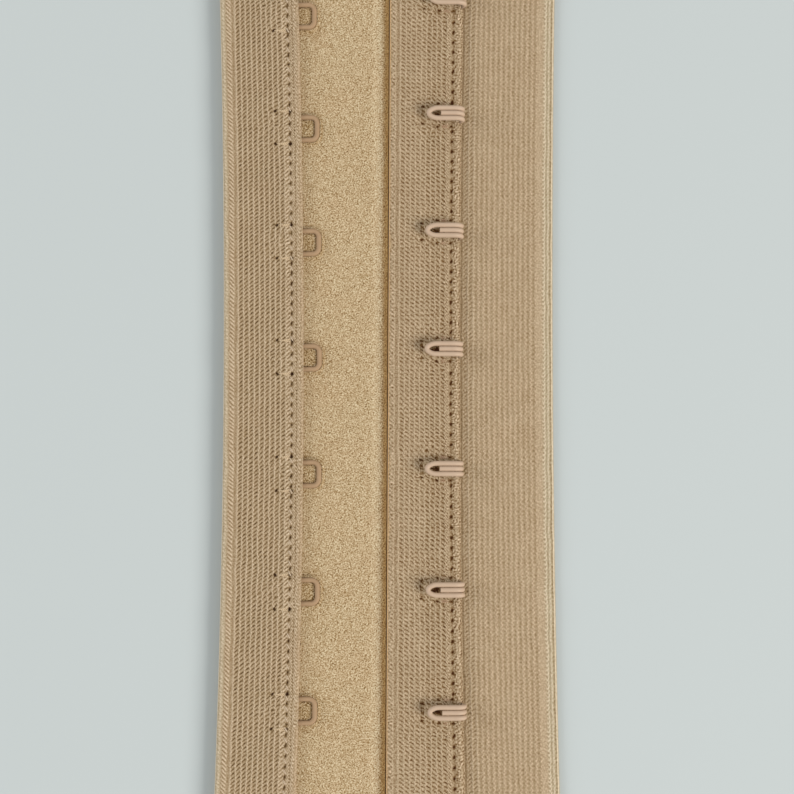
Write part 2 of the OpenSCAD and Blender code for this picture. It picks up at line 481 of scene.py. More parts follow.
@dataclass(frozen=True)
class Wales:
    """Run of knitted columns: zigzag crests with a slanted pit in each cell between them."""

    start: float
    count: int
    pitch: float
    course: float
    slant: Slant = Slant.RISING
    tilt: float = 0.87
    swing: float = 0.09
    depth: float = 0.06 * MM
    dark: float = 0.32
    crest: float = 0.05 * MM
    light: float = 0.26
    crest_width: float = 0.12
    pit_length: float = 0.3 * MM
    pit_width: float = 0.1 * MM
    uneven: float = 0.5
    yarn: float = 0.1
    level: float = 0.0

    def relief(self, across: Value, along: Value) -> tuple[Value, Value]:
        """Works out the columns' height and shade.

        Args:
            across: Distances across the cloth.
            along: Distances along it.

        Returns:
            Height added and shade added at each place.
        """
        column = (across - self.start) * (1 / self.pitch) + 0.5
        index = whole(column)
        phase = along * (1 / self.course)
        cell = column - zigzag(phase) * (self.swing * self.slant.value)
        crest = ridge(cell - whole(cell + 0.5), self.crest_width)
        row = whole(phase)
        a = (column - index - 0.5) * self.pitch
        b = (phase - row - 0.5) * self.course
        c, s = math.cos(self.tilt), math.sin(self.tilt) * self.slant.value
        strength = (scatter(index, row) - 0.5) * self.uneven + 1.0
        pit = ridge(a * s + b * c, self.pit_length) * ridge(a * c - b * s, self.pit_width) * strength
        mask = within(column, 0.0, float(self.count), 0.3)
        twill = wave((b - a * (c / s)) * (1 / self.course)) * -self.yarn
        # Painted light on the crests and painted shade in the pits, besides the stripes of the twill
        shade = (crest - 0.3) * self.light - pit * self.dark + twill * (1.0 - crest) + self.level
        return mask * (crest * self.crest - pit * self.depth), mask * shade


@dataclass(frozen=True)
class Line:
    """Raised or sunk line along the cloth, plain or broken up at an even pitch."""

    place: float
    half_width: float
    height: float
    tone: float
    pitch: float = 0.67 * MM
    broken: float = 0.0
    lean: float = 0.0
    wander: float = 0.0

    def relief(self, across: Value, along: Value) -> tuple[Value, Value]:
        """Works out the line's height and shade, as Wales.relief does."""
        offset = across - self.place
        if self.wander:
            offset = offset - wave(along * (1 / (2.3 * MM))) * wave(along * (1 / (7.1 * MM))) * self.wander
        beat = wave(along * (1 / self.pitch) + offset * (self.lean / self.half_width)) * 0.5 + 0.5
        line = ridge(offset, self.half_width) * (beat * -self.broken + 1.0)
        return line * self.height, line * self.tone


@dataclass(frozen=True)
class Chain:
    """Row of leaning loops, as on the selvedge of a knit, with flattened crowns and hollows."""

    SHARP = 0.8

    place: float
    half_width: float
    height: float
    tone: float
    pitch: float = 0.67 * MM
    lean: float = 0.6
    bow: float = 0.25
    level: float = 0.0

    def relief(self, across: Value, along: Value) -> tuple[Value, Value]:
        """Works out the loops' height and shade, as Wales.relief does."""
        offset = (across - self.place) * (1 / self.half_width)
        beat = wave(along * (1 / self.pitch) + offset * self.lean - offset * offset * self.bow)
        loop = limit(beat * self.SHARP + 0.5) * 2.0 - 1.0
        mask = within(offset, -1.0, 1.0, 0.5)
        return mask * loop * self.height, mask * (loop * self.tone + self.level)


@dataclass(frozen=True)
class Speckle:
    """Zone of loose or crushed yarn with no order."""

    start: float
    end: float
    size: float
    height: float
    tone: float
    level: float = 0.0
    seed: int = 11
    soft: float = 0.12 * MM

    def relief(self, across: np.ndarray, along: np.ndarray) -> tuple[np.ndarray, np.ndarray]:
        """Works out the zone's height and shade, as Wales.relief does."""
        mask = within(across, self.start, self.end, self.soft)
        noise = Grain(self.size, self.seed).at(across, along)
        return mask * self.height * noise, mask * (self.tone * noise + self.level)


@dataclass(frozen=True)
class Dimple:
    """Hollow in the cloth with painted shade in it, such as the hole that a needle has left; with no depth it is just a
    patch of painted shadow.
    """

    across: float
    along: float
    half_length: float = 0.26 * MM
    half_width: float = 0.17 * MM
    lean: float = 0.0
    depth: float = 0.35 * MM
    dark: float = 0.75


@dataclass(frozen=True)
class Dimples:
    """All the hollows of a piece of cloth, each with the pull that its thread gives and the painted shade in it."""

    PULL = 0.2
    PULL_REACH = 0.6 * MM

    hollows: tuple[Dimple, ...]

    def relief(self, across: np.ndarray, along: np.ndarray) -> tuple[np.ndarray, np.ndarray]:
        """Works out the hollows' height and shade, as Wales.relief does."""
        height = np.zeros(np.broadcast_shapes(across.shape, along.shape))
        shade = height.copy()
        for one in self.hollows:
            reach = 3 * max(one.half_length, one.half_width) + 0.4 * MM
            rows = np.abs(along[:, 0] - one.along) < reach
            columns = np.abs(across[0] - one.across) < reach
            if not rows.any() or not columns.any():
                continue
            box = np.ix_(rows, columns)
            a, b = across[:, columns] - one.across, along[rows] - one.along
            c, s = math.cos(one.lean), math.sin(one.lean)
            hollow = ridge(a * s + b * c, one.half_length) * ridge(a * c - b * s, one.half_width)
            height[box] -= one.depth * (hollow + self.PULL * ridge(np.hypot(a, b), self.PULL_REACH))
            # Painted shade in each hollow
            shade[box] -= one.dark * hollow
        return height, shade


@dataclass(frozen=True)
class TapeSide:
    """Where one tape lies: its outer edge follows a long curve and its inner edge is straight."""

    edge: float
    inward: int
    width: float
    bend_from: float
    curve: float
    waist: float
    drift: float = 0.0

    def sway(self, along: np.ndarray | float) -> np.ndarray | float:
        """Distance that the outer edge has moved out from the waist at a place along the tape."""
        return self.curve - np.sqrt(self.curve**2 - (along - self.waist) ** 2)

    def x(self, inset: np.ndarray | float, along: np.ndarray | float) -> np.ndarray | float:
        """Turns a place on the tape into the frame's x.

        Args:
            inset: Distance from the outer edge, measured at the waist.
            along: Place along the tape.

        Returns:
            The x of that place.
        """
        straight = np.clip((inset - self.bend_from) / (self.width - self.bend_from), 0, 1)
        lean = self.drift * (along - self.waist) * straight
        return self.edge + self.inward * (inset - self.sway(along) * (1 - straight)) + lean


@dataclass
class Section:
    """Cross-section of cloth: a closed path of columns, each with its place, outward direction and weight."""

    inset: np.ndarray
    height: np.ndarray
    out_across: np.ndarray
    out_up: np.ndarray
    weight: np.ndarray
    measure: np.ndarray

    @classmethod
    def slab(
        cls, start: float, end: float, bottom: float, top: float, crown: np.ndarray, belly: np.ndarray,
        blunt_end: float = 1.0, blunt_start: float = 1.0,
    ) -> "Section":
        """Lays out a slab with two rounded sides.

        Args:
            start: Lower side of the slab.
            end: Higher side of the slab.
            bottom: Height of the underside.
            top: Height of the upper side.
            crown: Places of the columns of the upper side.
            belly: Places of the columns of the underside, in rising order.
            blunt_end: How far the rounding of the higher side reaches, against half the thickness.
            blunt_start: How far the rounding of the lower side reaches, against half the thickness.

        Returns:
            The closed cross-section, which starts and ends on the underside.
        """
        radius, middle = (top - bottom) / 2, (top + bottom) / 2
        split = len(belly) // 2
        turn = np.linspace(-np.pi / 2, np.pi / 2, 10)[1:-1]
        left = start + radius * blunt_start * (1 - np.cos(turn))
        right = end - radius * blunt_end * (1 - np.cos(turn))
        first, last = belly[: split + 1][::-1], belly[split:][::-1]
        level = middle + radius * np.sin(turn)
        fade = np.clip(0.5 + 0.5 * np.sin(turn), 0, 1)
        arc = radius * (np.pi / 2 - turn)

        def path(*values: np.ndarray | float) -> np.ndarray:
            """Joins the values of half the underside, a side, the upper side, the other side and the rest below."""
            below, rising, above, falling, rest = values
            return np.concatenate([0 * first + below, rising, 0 * crown + above, falling[::-1], 0 * last + rest])

        return cls(
            inset=path(first, left, crown, right, last),
            height=path(bottom, level, top, level, bottom),
            out_across=path(0, -np.cos(turn), 0, np.cos(turn), 0),
            out_up=path(-1, np.sin(turn), 1, np.sin(turn), -1),
            weight=path(0, fade, 1, fade, 0),
            measure=path(start - 2 * radius, crown[0] - arc, crown, crown[-1] + arc, end + 2 * radius),
        )


class ClothStrip:
    """Strip of cloth as long as the tape, built as one closed mesh from a cross-section and a stack of relief."""

    # Sixth of a course
    SIXTH = 0.113 * MM

    def __init__(self, name: str, side: TapeSide, section: Section, length: float, step: float) -> None:
        """Lays the cross-section out along the tape.

        Args:
            name: Name of the piece.
            side: Tape that the strip belongs to.
            section: Cross-section of the strip.
            length: Length of the tape.
            step: Spacing of the rows along it.
        """
        self.name = name
        self.side = side
        self.section = section
        self.along = np.linspace(-length / 2, length / 2, int(round(length / step)) + 1)[:, None]
        shape = (len(self.along), len(section.inset))
        self.inset = np.broadcast_to(section.inset, shape).copy()
        self.height = np.broadcast_to(section.height, shape).copy()
        self.shade = np.full(shape, MIDDLE_SHADE)
        # Yarns never run dead straight, so the places that the weave is drawn at wander a little
        place = (section.measure[None, :], self.along)
        self.drawn_across = place[0] + 0.03 * MM * Grain(5 * MM, 31).at(*place)
        slow, quick = Grain(9 * MM, 32).at(*place), Grain(1.3 * MM, 33).at(*place)
        self.drawn_along = self.along + 0.1 * MM * slow + 0.02 * MM * quick

    def crush(self, places: list, amount: float, reach: float) -> None:
        """Disturbs the weave round places where the cloth is drawn together.

        Args:
            places: Place across and along the cloth of each spot.
            amount: How far the yarns are pushed about.
            reach: Distance over which that fades.
        """
        across = self.section.measure[None, :]
        push = [Grain(size, seed).at(across, self.along) for size, seed in ((1.3 * MM, 34), (1.5 * MM, 35))]
        strength = np.zeros(self.height.shape)
        for one_across, one_along in places:
            strength = np.maximum(strength, ridge(np.hypot(across - one_across, self.along - one_along), reach))
        self.drawn_across = self.drawn_across + amount * strength * push[0]
        self.drawn_along = self.drawn_along + amount * strength * push[1]

    def press(self, features: list) -> None:
        """Raises the mesh by the features that the material draws, averaged over a course as its rows are coarser."""
        shifts = [(a * MM, b * self.SIXTH) for a in (-0.042, 0.042) for b in range(6)]
        for feature in features:
            parts = [feature.relief(self.drawn_across + a, self.drawn_along + b)[0] for a, b in shifts]
            self.raise_by(sum(parts) / len(parts))

    def add_relief(self, features: list) -> None:
        """Adds both height and shade of the features that only the mesh holds."""
        weight = np.clip(self.section.weight * 1.5, 0, 1)
        for feature in features:
            raised, shade = feature.relief(self.section.measure[None, :], self.along)
            self.raise_by(raised)
            self.shade += shade * weight

    def raise_by(self, raised: np.ndarray) -> None:
        """Moves the surface along its outward direction."""
        self.inset += raised * self.section.out_across * self.section.weight
        self.height += raised * self.section.out_up * self.section.weight

    def build(self) -> bpy.types.Object:
        """Makes the mesh: a grid wrapped round the section, closed along the underside and filled at both ends.

        Returns:
            The finished piece.
        """
        rows, columns = self.inset.shape
        deselect_all()
        bpy.ops.mesh.primitive_grid_add(x_subdivisions=columns - 1, y_subdivisions=rows - 1, size=2)
        piece = bpy.context.object
        piece.name = piece.data.name = self.name
        # Each vertex of the flat grid tells its row and column by its place
        flat = read_points(piece)
        column = np.rint((flat[:, 0] + 1) / 2 * (columns - 1)).astype(int)
        row = np.rint((flat[:, 1] + 1) / 2 * (rows - 1)).astype(int)
        along = self.along[row, 0]
        inset, height = self.inset[row, column], self.height[row, column]
        write_points(piece, np.stack([self.side.x(inset, along), along, height], axis=1))
        cloth = [values[row, column] for values in (self.drawn_across, self.drawn_along, self.shade)]
        attribute = piece.data.attributes.new("cloth", "FLOAT_VECTOR", "POINT")
        attribute.data.foreach_set("vector", np.stack(cloth, axis=1).ravel())
        bpy.ops.object.shade_smooth()
        bpy.ops.object.mode_set(mode="EDIT")
        bpy.ops.mesh.select_all(action="SELECT")
        bpy.ops.mesh.remove_doubles(threshold=1e-7)
        bpy.ops.mesh.select_mode(type="EDGE")
        bpy.ops.mesh.select_all(action="DESELECT")
        bpy.ops.mesh.select_non_manifold()
        bpy.ops.mesh.mark_sharp()
        bpy.ops.mesh.fill_holes(sides=0)
        bpy.ops.mesh.select_all(action="SELECT")
        bpy.ops.mesh.normals_make_consistent(inside=False)
        bpy.ops.object.mode_set(mode="OBJECT")
        return piece


@dataclass(frozen=True)
class Float:
    """One visible length of sewing thread between two needle holes."""

    start: Point
    end: Point
    width: float
    rise: float


class ThreadWork:
    """Lengths of sewing thread that make one seam or one group of tacks, as a single piece."""

    # How square the ends are, how flat the thread lies and how far it dips into its holes, against its width
    BLUNT = 0.8
    FLAT = 0.42
    DIP = 0.3

    def __init__(self, name: str) -> None:
        """Starts with no thread.

        Args:
            name: Name of the piece.
        """
        self.name = name
        self.floats: list[Float] = []

    def lay(self, start: Point, end: Point, width: float, rise: float) -> None:
        """Notes one length of thread from one hole to the next."""
        self.floats.append(Float(start, end, width, rise))

    def build(self) -> bpy.types.Object:
        """Models one plump length of thread, copies it to each place and joins the copies.

        Returns:
            The finished piece.
        """
        deselect_all()
        bpy.ops.mesh.primitive_uv_sphere_add(segments=8, ring_count=9, radius=1.0)
        pattern = bpy.context.object
        bpy.ops.object.shade_smooth()
        ball = read_points(pattern)
        reach = np.sign(ball[:, 2]) * np.abs(ball[:, 2]) ** self.BLUNT
        girth = np.sqrt(np.clip(1 - np.abs(ball[:, 2]) ** 3, 0, 1)) / np.sqrt(np.clip(1 - ball[:, 2] ** 2, 1e-6, 1))
        copies = []
        for one in self.floats:
            copy = pattern.copy()
            copy.data = pattern.data.copy()
            bpy.context.collection.objects.link(copy)
            start, end = np.array(one.start), np.array(one.end)
            forward = end - start
            length = np.linalg.norm(forward)
            forward = forward / length
            sideways = np.cross((0.0, 0.0, 1.0), forward)
            sideways /= np.linalg.norm(sideways)
            up = np.cross(forward, sideways)
            points = (
                (start + end) / 2
                + np.outer(reach * (length / 2 + one.width * self.DIP), forward)
                + np.outer(ball[:, 0] * girth * one.width / 2, sideways)
                + np.outer(ball[:, 1] * girth * one.width * self.FLAT + one.rise * (1 - reach**2), up)
            )
            write_points(copy, points)
            copies.append(copy)
        bpy.data.objects.remove(pattern)
        deselect_all()
        for copy in copies:
            copy.select_set(True)
        bpy.context.view_layer.objects.active = copies[0]
        bpy.ops.object.join()
        piece = bpy.context.object
        piece.name = piece.data.name = self.name
        bpy.ops.object.mode_set(mode="EDIT")
        bpy.ops.mesh.select_all(action="SELECT")
        bpy.ops.mesh.normals_make_consistent(inside=False)
        bpy.ops.object.mode_set(mode="OBJECT")
        return piece


def dress(
    piece: bpy.types.Object, material: bpy.types.Material, cut: bpy.types.Material | None = None
) -> bpy.types.Object:
    """Gives a piece its material, and lets it ride on the object.

    Args:
        piece: Piece to dress.
        material: Its material.
        cut: Material of its cut ends, the only faces with more than four corners, if they differ.

    Returns:
        The same piece.
    """
    piece.data.materials.clear()
    piece.data.materials.append(material)
    if cut:
        piece.data.materials.append(cut)
        for face in piece.data.polygons:
            face.material_index = int(len(face.vertices) > 4)
    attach(piece, "root")
    LOG.info("%s: %d faces", piece.name, len(piece.data.polygons))
    return piece


def dress_knit(strip: ClothStrip, finish: ClothFinish, weave: list, rim: Rim) -> bpy.types.Object:
    """Builds a strip of knit and dresses it, with its cut ends plain.

    Args:
        strip: The strip.
        finish: Its finish.
        weave: Features of its knit.
        rim: Band that its material tints.

    Returns:
        The finished piece.
    """
    return dress(strip.build(), finish.material(weave, (rim,)), finish.material([]))


def spread(start: float, end: float, step: float) -> np.ndarray:
    """Even places from a start to an end, at about a step apart."""
    return np.linspace(start, end, max(2, int(round((end - start) / step)) + 1))


def thin(*runs: np.ndarray) -> np.ndarray:
    """Joins runs of places in order and drops those that repeat."""
    joined = np.concatenate(runs)
    return joined[np.concatenate([[True], np.diff(joined) > 0.01 * MM])]


@dataclass
class Tape:
    """What both tapes share: a cloth on the table, with a folded cover sewn onto it over a row of wires.

    Each tape models its own base, cover and threads, and returns the pieces for them.
    """

    cover_width: float = 0.0
    length: float = 142 * MM
    waist: float = -5 * MM
    seam_start: float = 0.0
    seam_pitch: float = 0.0
    side: TapeSide = field(init=False)
    wires: list = field(init=False)

    def seam_places(self, between: bool) -> np.ndarray:
        """Places along the tape of the seam's needle holes, or of the thread between them."""
        first = -self.length / 2 + self.seam_start + between * self.seam_pitch / 2
        return np.arange(first, self.length / 2 - (1.2 if between else 0.4) * MM, self.seam_pitch)

    def build(self) -> None:
        """Builds and dresses the whole tape."""
        base = self.build_base()
        cover = self.build_cover()
        threads = self.build_threads()


@dataclass
class EyeTape(Tape):
    """Tape with the eyes: a brushed underlay and a folded knit cover over the feet of the eyes."""

    curve: float = 2000 * MM
    width: float = 25.8 * MM
    pile_spill: float = 0.33 * MM
    cover_width: float = 12.75 * MM
    seam_inset: float = 1.85 * MM
    plush_top: float = 1.1 * MM
    cover_top: float = 2.44 * MM
    leg_y: float = 1.86 * MM
    corner: float = 1.0 * MM
    foot_inset: float = 3.2 * MM
    tack_y: float = 2.68 * MM
    tack_near: float = 1.83 * MM
    tack_far: float = 4.22 * MM
    seam_start: float = 0.8 * MM
    seam_pitch: float = 1.62 * MM
    wire_top: float = 1.93 * MM
    wire_radius: float = 0.39 * MM
    reach: float = 2.9 * MM
    pile_side: TapeSide = field(init=False)

    def __post_init__(self) -> None:
        """Reads the tape's place and the eyes' places from the frame."""
        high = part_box("eye_tape_plush")[1]
        edge, width = high.x - self.width, self.cover_width
        self.side = TapeSide(edge, 1, self.width, width, self.curve, self.waist)
        self.pile_side = TapeSide(edge, 1, self.width + self.pile_spill, width, self.curve, self.waist, 0.0045)
        self.wires = []
        for index in range(1, 8):
            low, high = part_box(f"eye_{index}")
            self.wires.append((high.x - self.reach, (low.y + high.y) / 2))

    def build_base(self) -> bpy.types.Object:
        """Models the brushed underlay: short tangled pile, puffed up round the wires and falling to the open edge."""
        width = self.width + self.pile_spill
        crown = thin(
            spread(0.6 * MM, self.cover_width - 0.6 * MM, 3 * MM),
            spread(self.cover_width - 0.6 * MM, width - 1.2 * MM, 0.165 * MM),
            spread(width - 1.2 * MM, width - 0.1 * MM, 0.12 * MM),
        )
        belly = spread(0.6 * MM, width - 0.6 * MM, 8 * MM)
        section = Section.slab(0.0, width, 0.0, self.plush_top, crown, belly, blunt_end=0.18)
        strip = ClothStrip("brushed_underlay", self.pile_side, section, self.length, BASE_STEP)
        across, along = section.measure[None, :], strip.along
        pile = Grain(0.4 * MM, 21, spread=0.25).at(across, along)
        fray = Grain(1.1 * MM, 24).at(across * 0, along)
        fall = np.clip((section.inset[None, :] - (width - 1.05 * MM + 0.05 * MM * fray)) / (1.0 * MM), 0, 1)
        middle = section.height[None, :] / self.plush_top
        strip.height -= 0.14 * MM * fall**1.6 * middle
        inset = section.inset[None, :]
        # Painted light on the pile before its edge, on the falling edge and on the crack beside the hook tape, where
        # the hook cover's shadow falls; the fall starts with a little painted shade
        painted_light = 0.09 * within(inset, width - 2.5 * MM, width - 1.06 * MM, 0.5 * MM)
        painted_light = painted_light + 0.25 * ridge(inset - width, 0.2 * MM)
        strip.shade += (0.16 * fall - 0.05 * np.clip(fall * 3.2, 0, 1) + painted_light) * section.weight
        strip.height += 0.02 * MM * pile * section.out_up * section.weight
        frayed = 0.07 + 0.04 * ridge(inset - (width - 0.9 * MM), 0.4 * MM)
        strip.shade += (frayed * pile + 0.003 * Grain(1.8 * MM, 22).at(across, along)) * section.weight
        for x, y in self.wires:
            rows = np.abs(along[:, 0] - y) < 4.5 * MM
            past_fold = self.pile_side.x(across, along[rows]) - x
            gap = self.wire_gap(past_fold, along[rows] - y)
            rim = ridge(gap - 0.5 * MM, 0.2 * MM)
            inside = within(past_fold, -1 * MM, self.reach - 0.4 * MM, 0.5 * MM)
            inside = inside * within(along[rows] - y, -self.leg_y, self.leg_y, 0.5 * MM)
            puff = 0.38 * MM * inside * (1 - ridge(gap, 0.34 * MM)) + 0.45 * MM * rim * (1 - inside)
            strip.height[rows] += (puff - 0.04 * MM * ridge(gap, 0.25 * MM)) * section.weight
            # Painted shade along each eye's wire and in a ring round its outside, where the raised pile would catch the
            # key light; the pile inside the loop is darker too
            ring = 0.08 * ridge(gap - 0.7 * MM, 0.3 * MM) * (1 - inside)
            strip.shade[rows] -= ring + 0.04 * ridge(gap, 1.6 * MM) + 0.12 * inside
        rims = (Rim(width - 0.75 * MM, width + 2 * MM, "#ffecc6", 0.6 * MM),)
        piece = dress(strip.build(), PLUSH.material([], rims))
        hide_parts("eye_tape_plush")
        return piece

    def wire_gap(self, x: np.ndarray, y: np.ndarray) -> np.ndarray:
        """Distance of places on the underlay from the middle line of an eye.

        Args:
            x: Distance of each place past the fold of the cover.
            y: Distance of each place from the middle of the eye.

        Returns:
            Distance of each place from the nearest part of the wire.
        """
        bar = self.reach - self.wire_radius
        cx, cy = x - (bar - self.corner), np.abs(y) - (self.leg_y - self.corner)
        round_gap = np.abs(np.hypot(np.maximum(cx, 0), np.maximum(cy, 0)) - self.corner)
        straight_gap = np.where(cx < 0, np.abs(np.abs(y) - self.leg_y), np.abs(x - bar))
        return np.where((cx > 0) & (cy > 0), round_gap, straight_gap)

    def needle_holes(self) -> tuple[Dimple, ...]:
        """Holes of the seam beside the fold and of the two tacks at each eye."""
        seam = self.cover_width - self.seam_inset
        holes = []
        for index, y in enumerate(self.seam_places(between=False)):
            long = (0.3 + 0.2 * float(scatter(np.float64(index), 3.0))) * MM
            holes.append(Dimple(seam, float(y), long, 0.19 * MM, 0.25, 0.12 * MM, 0.62))
        for _, y in self.wires:
            for tack in (-self.tack_y, self.tack_y):
                for inset in (self.tack_near, self.tack_far):
                    across = self.cover_width - inset
                    holes.append(Dimple(across, y + tack, 0.19 * MM, 0.24 * MM, depth=0.25 * MM, dark=0.85))
        return tuple(holes)

    def weave(self) -> list:
        """Features of the cover's knit, from its selvedge to its fold."""
        course = 0.651 * MM
        return [
            # Painted light on the selvedge's outer side, which faces away from the key light
            Line(0.0, 0.26 * MM, 0.0, 0.4, course),
            Line(0.3 * MM, 0.1 * MM, -0.03 * MM, -0.12, course),
            Line(0.57 * MM, 0.13 * MM, 0.04 * MM, 0.24, course, broken=0.8, lean=0.3),
            Line(0.96 * MM, 0.12 * MM, -0.02 * MM, -0.06, course),
            Chain(1.36 * MM, 0.36 * MM, 0.02 * MM, 0.17, course, lean=0.5, bow=0.0, level=-0.01),
            Line(1.64 * MM, 0.14 * MM, 0.01 * MM, 0.08, course, broken=0.3),
            Line(2.0 * MM, 0.24 * MM, -0.03 * MM, -0.14, course),
            Line(2.42 * MM, 0.13 * MM, 0.0, 0.07, course),
            Wales(
                2.83 * MM, 9, 0.845 * MM, course, depth=0.05 * MM, dark=0.25, light=0.3, crest_width=0.105, level=-0.035
            ),
            Wales(10.36 * MM, 1, 0.84 * MM, course, dark=0.12, light=0.08, depth=0.02 * MM, yarn=0.16),
            Line(10.95 * MM, 0.13 * MM, -0.03 * MM, -0.05, course),
            Chain(11.4 * MM, 0.24 * MM, 0.01 * MM, 0.14, 0.5 * MM, lean=0.8),
            Line(11.68 * MM, 0.1 * MM, -0.04 * MM, -0.32, 0.55 * MM, broken=0.9),
            Chain(12.02 * MM, 0.26 * MM, 0.02 * MM, 0.12, course, lean=0.7, level=0.02),
            Line(12.36 * MM, 0.09 * MM, -0.02 * MM, -0.2, 0.5 * MM, broken=1.0),
        ]

    def build_cover(self) -> bpy.types.Object:
        """Models the folded knit cover with its selvedge, ribs, seam and the tunnels of the legs and feet."""
        radius = (self.cover_top - self.plush_top) / 2
        crown = spread(radius, self.cover_width - radius, COVER_STEP)
        belly = np.array([1, 4, 7, 7.9, 8.05, 10.85, 10.95, 11.8, 12.1]) * MM
        section = Section.slab(0.0, self.cover_width, self.plush_top, self.cover_top, crown, belly, blunt_start=0.5)
        strip = ClothStrip("eye_cover_knit", self.side, section, self.length, COVER_STEP)
        strip.crush([(self.cover_width - self.tack_far, y) for _, y in self.wires], 0.07 * MM, 2.6 * MM)
        strip.press(self.weave())
        strip.add_relief(
            [
                Speckle(9.9 * MM, 10.75 * MM, 0.45 * MM, 0.02 * MM, 0.12, 0.01),
                Speckle(11.2 * MM, 12.3 * MM, 0.5 * MM, 0.01 * MM, 0.1, -0.03, seed=12),
                Speckle(12.4 * MM, 12.95 * MM, 0.5 * MM, 0.01 * MM, 0.14, -0.01, seed=12),
                Speckle(0.0, 13.0 * MM, 9 * MM, 0.02 * MM, 0.006, seed=13),
                Dimples(self.needle_holes()),
            ]
        )
        self.open_tunnels(strip, radius)
        piece = dress_knit(strip, EYE_KNIT, self.weave(), Rim(-1 * MM, 0.9 * MM, "#f9feff"))
        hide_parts("eye_tape_cover")
        return piece

    def open_tunnels(self, strip: ClothStrip, radius: float) -> None:
        """Lifts the cover's underside over the legs and feet of the eyes, so that the wire passes through."""
        section, roof, width = strip.section, self.wire_top + 0.04 * MM, self.cover_width
        slim = (self.cover_top - roof) / 2
        turned = np.where(section.out_across > 0)[0]
        tunnel = (section.out_up <= -1) & (section.inset > width - self.foot_inset - 1.35 * MM)
        chamber = tunnel & (section.inset < width - self.foot_inset + 1.35 * MM)
        for _, y in self.wires:
            off = np.abs(strip.along[:, 0] - y)
            leg = np.where(np.abs(off - self.leg_y) < self.wire_radius + 0.06 * MM)[0]
            foot = np.where((off > self.leg_y - self.wire_radius) & (off < self.leg_y + 2.3 * MM))[0]
            for column in turned:
                strip.inset[leg, column] = width - slim * (1 - section.out_across[column])
                strip.height[leg, column] = roof + slim + slim * section.out_up[column]
            strip.height[np.ix_(leg, tunnel)] = roof
            strip.height[np.ix_(foot, chamber)] = roof

    def build_threads(self) -> list[bpy.types.Object]:
        """Models the seam thread and the tacks.

        Returns:
            The seam's thread and the tacks' thread.
        """
        seam, tacks = ThreadWork("eye_seam_thread"), ThreadWork("eye_tack_thread")
        inset = self.cover_width - self.seam_inset
        top = self.cover_top - 0.04 * MM
        lean, half = 0.17 * MM, self.seam_pitch * 0.2
        for y in self.seam_places(between=True):
            start = (float(self.side.x(inset - lean, y)), float(y + half), top)
            end = (float(self.side.x(inset + lean, y)), float(y - half), top)
            seam.lay(start, end, 0.25 * MM, 0.04 * MM)
        for x, y in self.wires:
            for tack in (-self.tack_y, self.tack_y):
                for shift, short in ((-0.2, 0.95), (0.02, 0.3), (0.2, 1.15)):
                    start = (x - self.tack_far + short * MM, y + tack + shift * 0.4 * MM, top)
                    end = (x - self.tack_near - 0.2 * MM, y + tack + shift * 1.1 * MM, top)
                    tacks.lay(start, end, 0.18 * MM, 0.04 * MM)
        return [
            dress(seam.build(), SEAM_THREAD.material()),
            dress(tacks.build(), TACK_THREAD.material()),
        ]


